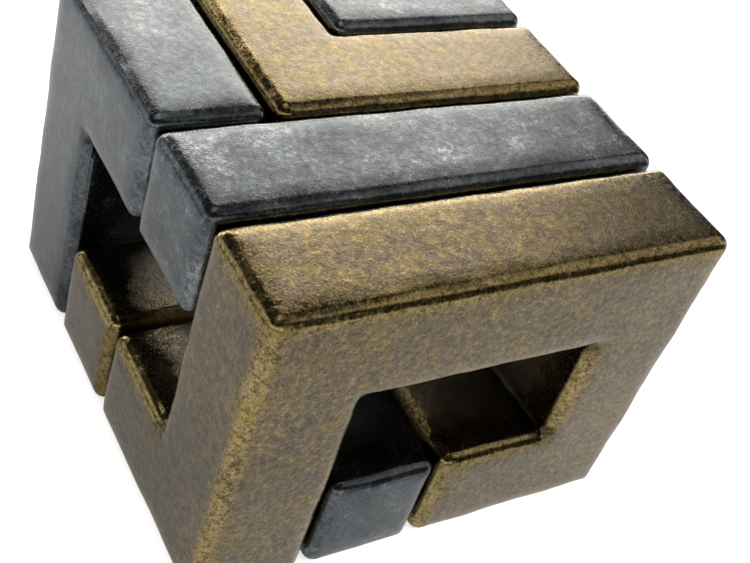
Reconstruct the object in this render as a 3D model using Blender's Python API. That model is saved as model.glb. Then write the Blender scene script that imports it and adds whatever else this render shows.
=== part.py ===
"""Cast-metal interlocking block: four square-bar coils that slide together into one 4 x 4 x 3 block.

Metres, +Z up. The origin is at the middle of the block's underside, the front face looks to -Y.
Two shapes of casting are each used twice: the rear pair is the front pair turned half a turn about X.
"""

import math

import bmesh
import bpy

# Driving dimensions.
PITCH = 0.009          # centre distance of neighbouring bars
PLAY = 0.0003          # gap between the faces of touching castings
EDGE_RADIUS = 0.001    # rounding of every outer edge of a bar
EDGE_SEGMENTS = 3

# The block's size in cells of one pitch, along X, Y and Z.
COLUMNS, ROWS, LAYERS = 4, 4, 3

# Each casting is one square bar bent at right angles. Its corners are cells (column, row, layer)
# counted from the left front bottom cell of the block.
RING_CORNERS = [(2, 0, 0), (3, 0, 0), (3, 0, 2), (0, 0, 2), (0, 0, 0), (0, 1, 0)]
COIL_CORNERS = [(0, 1, 2), (3, 1, 2), (3, 1, 0), (1, 1, 0), (1, 0, 0)]

# The slide that frees each casting runs along Y through the middle of the block's front view.
BLOCK_CENTRE = (0.0, 0.0, (LAYERS * PITCH - PLAY) / 2)

BRASS = ("antique_brass", (0.42, 0.31, 0.14, 1.0), 0.42)
DARK = ("antique_nickel", (0.16, 0.17, 0.19, 1.0), 0.45)


def clear_scene():
    for item in list(bpy.data.objects):
        bpy.data.objects.remove(item, do_unlink=True)


def new_collection(name):
    collection = bpy.data.collections.new(name)
    bpy.context.scene.collection.children.link(collection)
    return collection


def metal(name, colour, roughness):
    material = bpy.data.materials.new(name)
    material.use_nodes = True
    shader = material.node_tree.nodes["Principled BSDF"]
    shader.inputs["Base Color"].default_value = colour
    shader.inputs["Metallic"].default_value = 1.0
    shader.inputs["Roughness"].default_value = roughness
    material.diffuse_color = colour
    return material


def cell_centre(cell):
    """Centre of a cell, measured from the centre of the block."""
    counts = (COLUMNS, ROWS, LAYERS)
    return [(index - (count - 1) / 2) * PITCH for index, count in zip(cell, counts)]


def straight_bar(start, end, collection):
    """A square bar from one corner cell to the next, both cells included."""
    first, last = cell_centre(start), cell_centre(end)
    bar = bpy.data.objects.new("bar", bpy.data.meshes.new("bar"))
    collection.objects.link(bar)
    shape = bmesh.new()
    bmesh.ops.create_cube(shape, size=1.0)
    size = [abs(b - a) + PITCH - PLAY for a, b in zip(first, last)]
    middle = [(a + b) / 2 for a, b in zip(first, last)]
    bmesh.ops.scale(shape, vec=size, verts=shape.verts)
    bmesh.ops.translate(shape, vec=middle, verts=shape.verts)
    shape.to_mesh(bar.data)
    shape.free()
    return bar


def joined_mesh(name, bars):
    """One closed mesh from the bars of a casting."""
    base = bars[0]
    for index, bar in enumerate(bars[1:]):
        union = base.modifiers.new(f"union_{index}", "BOOLEAN")
        union.operation = "UNION"
        union.solver = "EXACT"
        union.object = bar
    bpy.context.view_layer.update()
    evaluated = base.evaluated_get(bpy.context.evaluated_depsgraph_get())
    mesh = bpy.data.meshes.new_from_object(evaluated)
    mesh.name = name
    for bar in bars:
        bpy.data.objects.remove(bar, do_unlink=True)
    return mesh


def round_outer_edges(mesh):
    """Round the outer edges; the inner corners between bars stay sharp."""
    shape = bmesh.new()
    shape.from_mesh(mesh)
    bmesh.ops.dissolve_limit(
        shape, angle_limit=math.radians(1), verts=shape.verts, edges=shape.edges
    )
    outer = [edge for edge in shape.edges if edge.is_convex]
    bmesh.ops.bevel(
        shape, geom=outer, offset=EDGE_RADIUS, offset_type="OFFSET", segments=EDGE_SEGMENTS,
        profile=0.5, affect="EDGES", clamp_overlap=True,
    )
    bmesh.ops.triangulate(shape, faces=shape.faces)
    bmesh.ops.recalc_face_normals(shape, faces=shape.faces)
    shape.to_mesh(mesh)
    shape.free()
    mesh.shade_smooth()
    mesh.set_sharp_from_angle(angle=math.radians(35))


def casting_mesh(name, corners, collection):
    bars = [straight_bar(a, b, collection) for a, b in zip(corners, corners[1:])]
    mesh = joined_mesh(name, bars)
    round_outer_edges(mesh)
    return mesh


def place_casting(name, mesh, material, parent, collection, turned=False):
    """Put a casting in the block; a turned one lies half a turn about X from its twin."""
    casting = bpy.data.objects.new(name, mesh)
    collection.objects.link(casting)
    casting.parent = parent
    if turned:
        casting.rotation_euler = (math.pi, 0.0, 0.0)
    casting.material_slots[0].link = "OBJECT"
    casting.material_slots[0].material = material
    return casting


def build():
    clear_scene()
    parts = new_collection("interlocking_metal_block")
    tools = new_collection("cutters")
    brass = metal(*BRASS)
    dark = metal(*DARK)

    centre = bpy.data.objects.new("block_centre", None)
    centre.location = BLOCK_CENTRE
    parts.objects.link(centre)

    ring = casting_mesh("ring_casting", RING_CORNERS, tools)
    coil = casting_mesh("coil_casting", COIL_CORNERS, tools)
    for mesh in (ring, coil):
        mesh.materials.append(None)

    place_casting("front_brass_ring", ring, brass, centre, parts)
    place_casting("front_dark_coil", coil, dark, centre, parts)
    place_casting("rear_brass_coil", coil, brass, centre, parts, turned=True)
    place_casting("rear_dark_ring", ring, dark, centre, parts, turned=True)


build()
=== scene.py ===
"""Looks of the cast-metal interlocking block: four coils in two antique finishes on a pale studio floor."""

import math

import bmesh
import bpy
import numpy as np
from mathutils import Euler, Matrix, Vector, noise

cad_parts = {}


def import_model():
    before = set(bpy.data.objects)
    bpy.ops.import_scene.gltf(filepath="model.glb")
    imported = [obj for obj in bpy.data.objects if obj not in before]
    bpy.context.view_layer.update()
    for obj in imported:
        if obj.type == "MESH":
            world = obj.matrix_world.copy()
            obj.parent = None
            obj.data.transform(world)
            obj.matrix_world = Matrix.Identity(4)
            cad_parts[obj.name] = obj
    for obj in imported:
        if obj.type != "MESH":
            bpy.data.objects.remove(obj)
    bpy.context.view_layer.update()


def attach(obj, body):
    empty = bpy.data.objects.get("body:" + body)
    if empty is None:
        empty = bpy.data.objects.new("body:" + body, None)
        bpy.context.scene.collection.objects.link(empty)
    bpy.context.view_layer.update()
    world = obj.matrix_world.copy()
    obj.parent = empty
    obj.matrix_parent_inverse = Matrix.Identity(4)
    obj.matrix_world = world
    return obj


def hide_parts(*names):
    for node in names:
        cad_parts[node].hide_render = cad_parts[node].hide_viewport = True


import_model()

MM = 0.001

# The block: cells of one pitch along X, Y and Z, castings a little smaller than their cells.
PITCH = 9 * MM
PLAY = 0.3 * MM
CELLS = (4, 4, 3)

# Corner cells (column, row, layer) of the square bars, the same paths as the CAD solids.
RING = [(2, 0, 0), (3, 0, 0), (3, 0, 2), (0, 0, 2), (0, 0, 0), (0, 1, 0)]
COIL = [(0, 1, 2), (3, 1, 2), (3, 1, 0), (1, 1, 0), (1, 0, 0)]

# Rounding of the outer edges and of the inner corners.
EDGE_RADIUS, EDGE_SEGMENTS = 1.0 * MM, 8
CREASE_RADIUS, CREASE_SEGMENTS = 0.3 * MM, 3
CREASE_ANGLE = 0.12       # an inner corner bends at least this much, in radians
FLAT_ANGLE = 0.01         # faces that bend less than this, in radians, are one face
KNOT_REACH = 1.0 * MM     # how far the end of an inner corner is smoothed
KNOT_PASSES = 6

# Mesh lines over the flat faces.
GRID = 0.55 * MM
GRID_START = 0.4          # place of the first line, in steps of the grid
GRID_SNAP = 0.02 * MM     # a line closer than this to a corner uses the corner

# The uneven surface of a tumbled casting: (spot size, depth) of each noise, both in metres.
SWELL = (6.0 * MM, 0.020 * MM)
RIPPLE = (1.7 * MM, 0.006 * MM)
FACE_INSET = 0.026 * MM               # mean depth of a face, so that no swell passes the true one
EDGE_WAVE = (3.4 * MM, 0.075 * MM)
EDGE_NICK = (1.3 * MM, 0.030 * MM)
EDGE_RUB = 0.105 * MM                 # mean depth rubbed off at an edge
RUB_REACH = 1.7 * MM                  # where the rubbing starts
RUB_FADE = 1.1 * MM                   # over how much it grows to its full depth
SEED_STEP = (7.3, 3.1, 5.7)           # keeps the noise of the castings apart

# Noise layers of a finish: size of the spots, detail, roughness, and place in the noise.
GRAIN = (0.17 * MM, 3.0, 0.70, 0.0)
FLECK = (0.45 * MM, 4.0, 0.65, 4.0)
CLOUD = (2.0 * MM, 4.0, 0.60, 9.0)
PATCH = (8.0 * MM, 3.0, 0.50, 15.0)
NOISE_SPREAD = (1.0, 0.7, 1.3)        # turns a place in the noise into X, Y and Z

# Wear, soot and dark patina with painted shade, in pitches: from an edge, from an inner corner, and in from
# the block's outside.
WORN_EDGE = (0.07, 0.17)
# soot in the inner corners, darkened further as painted shade
CREASE_SOOT_AND_SHADE = (0.02, 0.16)
# dark patina in the hollows inside the block, with painted shade
HOLLOW_PATINA_AND_SHADE = (0.18, 0.66)
EDGE_WAVER = (0.30, 0.22)             # how far fleck and cloud move the worn edge
CREASE_WAVER = 0.12                   # how far fleck moves the soot and painted shade
HOLLOW_WAVER = 0.5                    # how far cloud moves the dark patina and painted shade in the hollows
# strength of the soot and painted shade in the inner corners
SOOT_AND_SHADE_SHARE = 0.75
# strength of the dark patina and painted shade in the hollows
PATINA_AND_SHADE_SHARE = 0.30
RUBBED_TONES = (0.39, 0.62)           # mottling that runs through the rubbed colours
TINTED_CLOUDS = (0.42, 0.58)          # cloud noise that runs from plain to tinted

# Roughness of the plating, and how much wear and hollows change it.
ROUGHNESS = (0.18, 0.30)
ROUGH_GRAIN = (0.3, 0.7)              # grain noise that runs through the roughness
WORN_ROUGHNESS = -0.09
HOLLOW_ROUGHNESS = -0.09

# Height of the cast grain, and how much wear and hollows change it.
GRAIN_HEIGHT = 0.04 * MM
FLECK_HEIGHT = 0.8                    # as a share of the grain's
WORN_RELIEF = -0.7
HOLLOW_RELIEF = 15.0

# The two finishes. The weights are for grain, fleck, cloud and patch; the colours run dark to light.
BRASS = {
    "slot": "antique_brass",
    "weights": (0.38, 0.42, 0.12, 0.08),
    "patina": [
        (0.0, (0.037, 0.030, 0.022)), (0.35, (0.106, 0.084, 0.058)),
        (0.65, (0.186, 0.140, 0.072)), (1.0, (0.385, 0.295, 0.132)),
    ],
    "rubbed": [
        (0.0, (0.062, 0.045, 0.020)), (0.45, (0.230, 0.172, 0.074)), (1.0, (0.440, 0.340, 0.150)),
    ],
    "rub_share": 0.80,
    "tint": (0.94, 0.93, 0.77),
    # colour of the soot, dark patina and painted shade in the inner corners and hollows
    "patina_and_shade_colour": (0.014, 0.011, 0.008),
    "relief": 0.50,
}
NICKEL = {
    "slot": "antique_nickel",
    "weights": (0.26, 0.30, 0.24, 0.20),
    "patina": [
        (0.0, (0.030, 0.034, 0.038)), (0.40, (0.062, 0.068, 0.074)),
        (0.70, (0.100, 0.107, 0.113)), (1.0, (0.240, 0.248, 0.250)),
    ],
    "rubbed": [
        (0.0, (0.045, 0.050, 0.054)), (0.50, (0.115, 0.123, 0.129)), (1.0, (0.290, 0.300, 0.304)),
    ],
    "rub_share": 0.36,
    "tint": (0.94, 0.975, 0.98),
    # colour of the soot, dark patina and painted shade in the inner corners and hollows
    "patina_and_shade_colour": (0.011, 0.012, 0.013),
    "relief": 0.36,
}

# The camera, at the photo's viewing angle.
CAMERA_PLACE = (-0.04686, -0.05596, 0.07239)
CAMERA_TARGET = (0.00051, -0.00396, 0.01324)
CAMERA_ROLL = math.radians(20.62)
CAMERA_LENS = 59.8
CAMERA_SENSOR = 36.0
CAMERA_NEAR = 2 * MM

# The studio: a white floor and surroundings to the camera, dim surroundings in the metal.
FLOOR_REACH = 0.7
FLOOR_COLOUR = (0.86, 0.86, 0.86, 1)
FLOOR_ROUGHNESS = 0.9
FLOOR_SPECULAR = 0.1
FLOOR_GLOW = 0.50
SEEN_SURROUNDINGS = (1, 1, 1, 1)
MIRRORED_SURROUNDINGS = (0.05, 0.052, 0.056, 1)
LIGHT_TARGET = (0, 0, 0.013)

# The low cards round the block: (azimuth, width), all with the same height and power per area.
SURROUND_CARDS = ((-92, 0.44), (-136, 0.44), (180, 0.44), (108, 0.24))
SURROUND_ELEVATION = 18
SURROUND_DISTANCE = 0.60
SURROUND_HEIGHT = 0.26
SURROUND_STRENGTH = 5.0

# Sockets of a Mix node that mixes colours, which share their names with its other sockets.
MIX_SHARE, MIX_A, MIX_B, MIX_RESULT = 0, 6, 7, 2


# ---------------------------------------------------------------- shape

def half_turned(corners):
    """The same path after half a turn of the block about X."""
    return [(x, CELLS[1] - 1 - y, CELLS[2] - 1 - z) for x, y, z in corners]


def path_cells(corners):
    """Every cell of a bar path, in order and without repeats."""
    cells = []
    for a, b in zip(corners, corners[1:]):
        steps = max(abs(q - p) for p, q in zip(a, b))
        for i in range(steps + 1):
            cell = tuple(p + (q - p) * i // steps for p, q in zip(a, b))
            if cell not in cells:
                cells.append(cell)
    return cells


def cell_point(corner):
    """World place of a cell corner; the castings' undersides are on the floor."""
    x, y, z = corner
    return Vector(((x - CELLS[0] / 2) * PITCH, (y - CELLS[1] / 2) * PITCH, z * PITCH - PLAY / 2))


def face_corners(cell, axis, side):
    """The four cell corners of one side of a cell, in order round it."""
    across, along = (axis + 1) % 3, (axis + 2) % 3
    corners = []
    for u, v in ((0, 0), (1, 0), (1, 1), (0, 1)):
        corner = list(cell)
        corner[axis] += side
        corner[across] += u
        corner[along] += v
        corners.append(tuple(corner))
    return corners


def sharp_casting(cells):
    """Closed box-sided mesh of the cells, drawn in by half the play on every face."""
    shape = bmesh.new()
    verts = {}
    for cell in cells:
        for axis in range(3):
            for side in (0, 1):
                neighbour = list(cell)
                neighbour[axis] += 2 * side - 1
                if tuple(neighbour) in cells:
                    continue
                corners = face_corners(cell, axis, side)
                for corner in corners:
                    if corner not in verts:
                        verts[corner] = shape.verts.new(cell_point(corner))
                loop = [verts[corner] for corner in corners]
                shape.faces.new(loop if side else loop[::-1])
    shape.normal_update()
    draw_in(shape)
    bmesh.ops.dissolve_limit(
        shape, angle_limit=FLAT_ANGLE, verts=shape.verts, edges=shape.edges,
    )
    shape.normal_update()
    return shape


def draw_in(shape):
    """Move every face of a box-sided mesh inwards by half the play."""
    places = []
    for vert in shape.verts:
        move = Vector((0, 0, 0))
        for axis in range(3):
            signs = {round(face.normal[axis]) for face in vert.link_faces} - {0}
            if len(signs) == 1:
                move[axis] = -signs.pop() * PLAY / 2
        places.append(vert.co + move)
    for vert, place in zip(shape.verts, places):
        vert.co = place


def rounded(shape, edges, radius, segments):
    bmesh.ops.bevel(
        shape, geom=edges, offset=radius, offset_type="OFFSET", segments=segments,
        profile=0.5, affect="EDGES", clamp_overlap=True,
    )
    shape.normal_update()


def cut_into_grid(shape):
    """Cut the mesh along all three axes, so that its flat faces can take an uneven surface."""
    points = np.array([v.co[:] for v in shape.verts])
    low, high = points.min(axis=0), points.max(axis=0)
    for axis in range(3):
        normal = [0.0, 0.0, 0.0]
        normal[axis] = 1.0
        for place in np.arange(low[axis] + GRID * GRID_START, high[axis], GRID):
            point = [0.0, 0.0, 0.0]
            point[axis] = place
            bmesh.ops.bisect_plane(
                shape, geom=shape.verts[:] + shape.edges[:] + shape.faces[:],
                dist=GRID_SNAP, plane_co=point, plane_no=normal,
            )


def segments_of(edges):
    return np.array([[e.verts[0].co[:], e.verts[1].co[:]] for e in edges])


def distance_to(points, lines):
    """Distance from each point to the nearest of the line segments."""
    best = np.full(len(points), np.inf)
    for a, b in lines:
        d = b - a
        t = np.clip((points - a) @ d / (d @ d), 0, 1)
        best = np.minimum(best, np.linalg.norm(points - a - t[:, None] * d, axis=1))
    return best


def smooth_knots(shape, ends):
    """Ease the small knots where an inner corner runs out into the rounded edges."""
    near = [v for v in shape.verts if min((v.co - end).length for end in ends) < KNOT_REACH]
    for _ in range(KNOT_PASSES):
        bmesh.ops.smooth_vert(
            shape, verts=near, factor=0.5, use_axis_x=True, use_axis_y=True, use_axis_z=True,
        )


def unevenness(place, layer, offset):
    """Height of one noise layer at a place, in metres to both sides of zero."""
    spot, depth = layer
    return depth * noise.noise(place / spot + offset)


def cast_surface(shape, seed, edge_lines):
    """Slight swells and hollows of a tumbled casting, always inwards from the true face."""
    shape.normal_update()
    offset = Vector([seed * step for step in SEED_STEP])
    to_edge = distance_to(np.array([v.co[:] for v in shape.verts]), edge_lines)
    places = []
    for vert, gap in zip(shape.verts, to_edge):
        swell = unevenness(vert.co, SWELL, offset)
        ripple = unevenness(vert.co, RIPPLE, -offset)
        wave = unevenness(vert.co, EDGE_WAVE, 2 * offset)
        nick = unevenness(vert.co, EDGE_NICK, -2 * offset)
        rub = min(max((RUB_REACH - gap) / RUB_FADE, 0.0), 1.0)
        depth = FACE_INSET + swell + ripple + rub * (EDGE_RUB + wave + nick)
        places.append(vert.co - vert.normal * depth)
    for vert, place in zip(shape.verts, places):
        vert.co = place


def add_distances(mesh, outer_lines, inner_lines):
    """Store how far each point is from an edge, from an inner corner and from the block's outside."""
    points = np.array([v.co[:] for v in mesh.vertices])
    box_low = np.array(cell_point((0, 0, 0))) + PLAY / 2
    box_high = np.array(cell_point(CELLS)) - PLAY / 2
    for label, values in (
        ("edge_distance", distance_to(points, outer_lines)),
        ("crease_distance", distance_to(points, inner_lines)),
        ("depth", np.minimum(points - box_low, box_high - points).min(axis=1)),
    ):
        layer = mesh.attributes.new(label, "FLOAT", "POINT")
        layer.data.foreach_set("value", (values / PITCH).astype(np.float32))


def casting(name, corners, seed):
    """Fine mesh of one casting, with the distances that its finish needs as attributes."""
    shape = sharp_casting(path_cells(corners))
    outer = [e for e in shape.edges if e.is_convex]
    inner = [e for e in shape.edges if not e.is_convex]
    outer_lines, inner_lines = segments_of(outer), segments_of(inner)
    rounded(shape, outer, EDGE_RADIUS, EDGE_SEGMENTS)
    creases = [e for e in shape.edges if not e.is_convex and e.calc_face_angle() > CREASE_ANGLE]
    rounded(shape, creases, CREASE_RADIUS, CREASE_SEGMENTS)
    cut_into_grid(shape)
    smooth_knots(shape, [Vector(end) for line in inner_lines for end in line])
    cast_surface(shape, seed, outer_lines)
    mesh = bpy.data.meshes.new(name)
    shape.to_mesh(mesh)
    shape.free()
    mesh.shade_smooth()
    add_distances(mesh, outer_lines, inner_lines)
    piece = bpy.data.objects.new(name, mesh)
    bpy.context.scene.collection.objects.link(piece)
    return piece


# ---------------------------------------------------------------- finishes

class Nodes:
    """Small helper that adds and wires the shader nodes of a material."""

    def __init__(self, material):
        material.use_nodes = True
        self.tree = material.node_tree
        self.shader = self.tree.nodes["Principled BSDF"]
        self.place = self.tree.nodes.new("ShaderNodeTexCoord").outputs["Object"]

    def feed(self, socket, value):
        """Link a socket to another one, or set its value."""
        if isinstance(value, bpy.types.NodeSocket):
            self.tree.links.new(value, socket)
        else:
            socket.default_value = value

    def noise(self, size, detail, rough, place, shift):
        """Noise with spots of about the given size in metres."""
        mapping = self.tree.nodes.new("ShaderNodeMapping")
        self.feed(mapping.inputs["Vector"], self.place)
        mapping.inputs["Scale"].default_value = (1 / size, 1 / size, 1 / size)
        mapping.inputs["Location"].default_value = [(shift + place) * part for part in NOISE_SPREAD]
        node = self.tree.nodes.new("ShaderNodeTexNoise")
        self.feed(node.inputs["Vector"], mapping.outputs[0])
        node.inputs["Scale"].default_value = 1.0
        node.inputs["Detail"].default_value = detail
        node.inputs["Roughness"].default_value = rough
        return node.outputs["Fac"]

    def math(self, kind, a, b, c=0.0):
        node = self.tree.nodes.new("ShaderNodeMath")
        node.operation = kind
        for socket, value in zip(node.inputs, (a, b, c)):
            self.feed(socket, value)
        return node.outputs[0]

    def added(self, value, share, base):
        """Base plus a share of the value."""
        return self.math("MULTIPLY_ADD", value, share, base)

    def wavered(self, value, layer, amount):
        """The value moved up and down by a noise layer."""
        return self.added(self.math("SUBTRACT", layer, 0.5), amount, value)

    def range(self, value, low, high, to_low=0.0, to_high=1.0):
        """A smooth step from one value to another as the input goes from low to high."""
        node = self.tree.nodes.new("ShaderNodeMapRange")
        node.interpolation_type = "SMOOTHSTEP"
        self.feed(node.inputs["Value"], value)
        node.inputs["From Min"].default_value = low
        node.inputs["From Max"].default_value = high
        node.inputs["To Min"].default_value = to_low
        node.inputs["To Max"].default_value = to_high
        return node.outputs["Result"]

    def ramp(self, value, stops):
        node = self.tree.nodes.new("ShaderNodeValToRGB")
        self.feed(node.inputs["Fac"], value)
        points = node.color_ramp.elements
        while len(points) < len(stops):
            points.new(0.5)
        for point, (place, colour) in zip(points, stops):
            point.position = place
            point.color = (*colour, 1.0)
        return node.outputs["Color"]

    def mix(self, share, below, above, kind="MIX"):
        """Lay the plain colour above over the colour below."""
        node = self.tree.nodes.new("ShaderNodeMix")
        node.data_type = "RGBA"
        node.blend_type = kind
        self.feed(node.inputs[MIX_SHARE], share)
        self.feed(node.inputs[MIX_A], below)
        self.feed(node.inputs[MIX_B], above)
        return node.outputs[MIX_RESULT]

    def attribute(self, name):
        node = self.tree.nodes.new("ShaderNodeAttribute")
        node.attribute_name = name
        return node.outputs["Fac"]

    def bump(self, height, strength, distance):
        node = self.tree.nodes.new("ShaderNodeBump")
        node.inputs["Strength"].default_value = strength
        self.feed(node.inputs["Distance"], distance)
        self.feed(node.inputs["Height"], height)
        return node.outputs["Normal"]


def antique_finish(name, metal, shift, tones):
    """A plated casting: mottled patina, rubbed edges, and inner corners and hollows blackened by soot,
    patina and painted shade.
    """
    material = bpy.data.materials.new(name)
    n = Nodes(material)
    layers = [n.noise(*layer, shift) for layer in (GRAIN, FLECK, CLOUD, PATCH)]
    grain, fleck, cloud, _ = layers
    mottle = 0.0
    for layer, weight in zip(layers, metal["weights"]):
        mottle = n.added(layer, weight, mottle)

    edge = n.wavered(n.attribute("edge_distance"), fleck, EDGE_WAVER[0])
    edge = n.wavered(edge, cloud, EDGE_WAVER[1])
    worn = n.range(edge, *WORN_EDGE, metal["rub_share"], 0.0)
    crease = n.wavered(n.attribute("crease_distance"), fleck, CREASE_WAVER)
    # soot in the inner corners, with painted shade
    soot_and_shade = n.range(crease, *CREASE_SOOT_AND_SHADE, 1.0, 0.0)
    # dark patina in the hollows, with painted shade
    hollow = n.range(n.wavered(n.attribute("depth"), cloud, HOLLOW_WAVER), *HOLLOW_PATINA_AND_SHADE)
    soot_patina_and_shade = n.math("MAXIMUM", n.math("MULTIPLY", soot_and_shade, SOOT_AND_SHADE_SHARE), n.math("MULTIPLY", hollow, PATINA_AND_SHADE_SHARE))

    colour = n.ramp(n.range(mottle, *tones), metal["patina"])
    colour = n.mix(worn, colour, n.ramp(n.range(mottle, *RUBBED_TONES), metal["rubbed"]))
    colour = n.mix(n.range(cloud, *TINTED_CLOUDS), colour, (*metal["tint"], 1.0), "MULTIPLY")
    # blacken the inner corners and hollows with soot, patina and painted shade
    colour = n.mix(soot_patina_and_shade, colour, (*metal["patina_and_shade_colour"], 1.0))
    n.feed(n.shader.inputs["Base Color"], colour)
    n.feed(n.shader.inputs["Metallic"], 1.0)

    roughness = n.added(worn, WORN_ROUGHNESS, n.range(grain, *ROUGH_GRAIN, *ROUGHNESS))
    n.feed(n.shader.inputs["Roughness"], n.added(hollow, HOLLOW_ROUGHNESS, roughness))

    height = n.added(fleck, FLECK_HEIGHT, grain)
    relief = n.added(hollow, HOLLOW_RELIEF, n.added(worn, WORN_RELIEF, 1.0))
    normal = n.bump(height, metal["relief"], n.math("MULTIPLY", relief, GRAIN_HEIGHT))
    n.feed(n.shader.inputs["Normal"], normal)
    return material


# ---------------------------------------------------------------- studio

def aimed(obj, place, target, roll=0.0):
    obj.location = place
    look = (Vector(target) - Vector(place)).to_track_quat("-Z", "Y").to_matrix()
    obj.rotation_euler = (look @ Euler((0, 0, roll)).to_matrix()).to_euler()


def camera():
    data = bpy.data.cameras.new("camera")
    data.lens = CAMERA_LENS
    data.sensor_width = CAMERA_SENSOR
    data.clip_start = CAMERA_NEAR
    obj = bpy.data.objects.new("camera", data)
    bpy.context.scene.collection.objects.link(obj)
    aimed(obj, CAMERA_PLACE, CAMERA_TARGET, CAMERA_ROLL)
    bpy.context.scene.camera = obj


def area_light(name, azimuth, elevation, distance, size, power, colour=(1, 1, 1)):
    """A rectangular light aimed at the block; azimuth 0 is behind it, positive to the right."""
    data = bpy.data.lights.new(name, "AREA")
    data.shape = "RECTANGLE"
    data.size, data.size_y = size
    data.energy = power
    data.color = colour
    obj = bpy.data.objects.new(name, data)
    bpy.context.scene.collection.objects.link(obj)
    turn, lift = math.radians(azimuth), math.radians(elevation)
    arm = Vector((math.sin(turn) * math.cos(lift), math.cos(turn) * math.cos(lift), math.sin(lift)))
    aimed(obj, Vector(LIGHT_TARGET) + arm * distance, LIGHT_TARGET)
    obj.visible_camera = False
    return obj


def mirrored_card(*settings):
    """A light that shows only as a reflection in the metal."""
    area_light(*settings).visible_diffuse = False


def floor_light(*settings):
    """A light that falls on the floor and leaves no reflection in the metal."""
    obj = area_light(*settings)
    obj.visible_glossy = False
    return obj


def lights():
    """Name, azimuth, elevation, distance, size, power and colour of every light."""
    overhead = floor_light("overhead", 0, 88, 0.9, (1.6, 1.6), 12.5)
    overhead.data.use_shadow = False
    mirrored_card("back_softbox", 12, 28, 0.36, (0.46, 0.12), 0.94, (1.0, 0.955, 0.87))
    mirrored_card("canopy_back", 37, 41, 0.40, (0.24, 0.12), 0.21, (1.0, 0.96, 0.88))
    mirrored_card("canopy_front", 108, 48, 0.40, (0.36, 0.15), 0.14, (1.0, 0.97, 0.90))
    mirrored_card("zenith_card", 0, 89, 0.50, (0.30, 0.30), 0.40, (1.0, 0.98, 0.94))
    mirrored_card("left_card", -50, 17, 0.40, (0.22, 0.18), 0.13, (0.94, 0.97, 1.0))
    mirrored_card("backdrop", 20, 5, 0.50, (0.80, 0.07), 1.3, (1.0, 0.98, 0.95))
    floor_light("key", 130, 50, 0.70, (0.50, 0.50), 3.7)
    for index, (azimuth, width) in enumerate(SURROUND_CARDS):
        mirrored_card(
            f"surround_{index}", azimuth, SURROUND_ELEVATION, SURROUND_DISTANCE,
            (width, SURROUND_HEIGHT), SURROUND_STRENGTH * width * SURROUND_HEIGHT,
        )


def floor():
    """A pale floor that looks white to the camera."""
    mesh = bpy.data.meshes.new("floor")
    shape = bmesh.new()
    bmesh.ops.create_grid(shape, x_segments=8, y_segments=8, size=FLOOR_REACH)
    shape.to_mesh(mesh)
    shape.free()
    obj = bpy.data.objects.new("floor", mesh)
    bpy.context.scene.collection.objects.link(obj)
    material = bpy.data.materials.new("floor")
    material.use_nodes = True
    tree = material.node_tree
    shader = tree.nodes["Principled BSDF"]
    shader.inputs["Base Color"].default_value = FLOOR_COLOUR
    shader.inputs["Roughness"].default_value = FLOOR_ROUGHNESS
    shader.inputs["Specular IOR Level"].default_value = FLOOR_SPECULAR
    shader.inputs["Emission Color"].default_value = (1, 1, 1, 1)
    glow = tree.nodes.new("ShaderNodeMath")
    glow.operation = "MULTIPLY"
    glow.inputs[1].default_value = FLOOR_GLOW
    tree.links.new(tree.nodes.new("ShaderNodeLightPath").outputs["Is Camera Ray"], glow.inputs[0])
    tree.links.new(glow.outputs[0], shader.inputs["Emission Strength"])
    mesh.materials.append(material)


def world():
    """Surroundings that are white to the camera and dim in every reflection."""
    studio = bpy.data.worlds.new("studio")
    bpy.context.scene.world = studio
    studio.use_nodes = True
    tree = studio.node_tree
    seen = tree.nodes.new("ShaderNodeLightPath").outputs["Is Camera Ray"]
    mix = tree.nodes.new("ShaderNodeMix")
    mix.data_type = "RGBA"
    mix.inputs[MIX_A].default_value = MIRRORED_SURROUNDINGS
    mix.inputs[MIX_B].default_value = SEEN_SURROUNDINGS
    tree.links.new(seen, mix.inputs[MIX_SHARE])
    tree.links.new(mix.outputs[MIX_RESULT], tree.nodes["Background"].inputs["Color"])


def main():
    # Node, path, material name, metal, shift of the noise, and mottling from darkest to lightest.
    castings = [
        ("front_brass_ring", RING, "brass_front", BRASS, 0.0, (0.32, 0.72)),
        ("front_dark_coil", COIL, "nickel_front", NICKEL, 31.0, (0.36, 0.65)),
        ("rear_brass_coil", half_turned(COIL), "brass_rear", BRASS, 53.0, (0.25, 0.81)),
        ("rear_dark_ring", half_turned(RING), "nickel_rear", NICKEL, 71.0, (0.31, 0.70)),
    ]
    for seed, (node, corners, label, metal, shift, tones) in enumerate(castings, start=1):
        piece = casting(f"{node}_cast", corners, seed)
        piece.data.materials.append(antique_finish(label, metal, shift, tones))
        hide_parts(node)
        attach(piece, node)
    camera()
    floor()
    lights()
    world()
    bpy.context.scene.view_settings.view_transform = "Standard"


main()
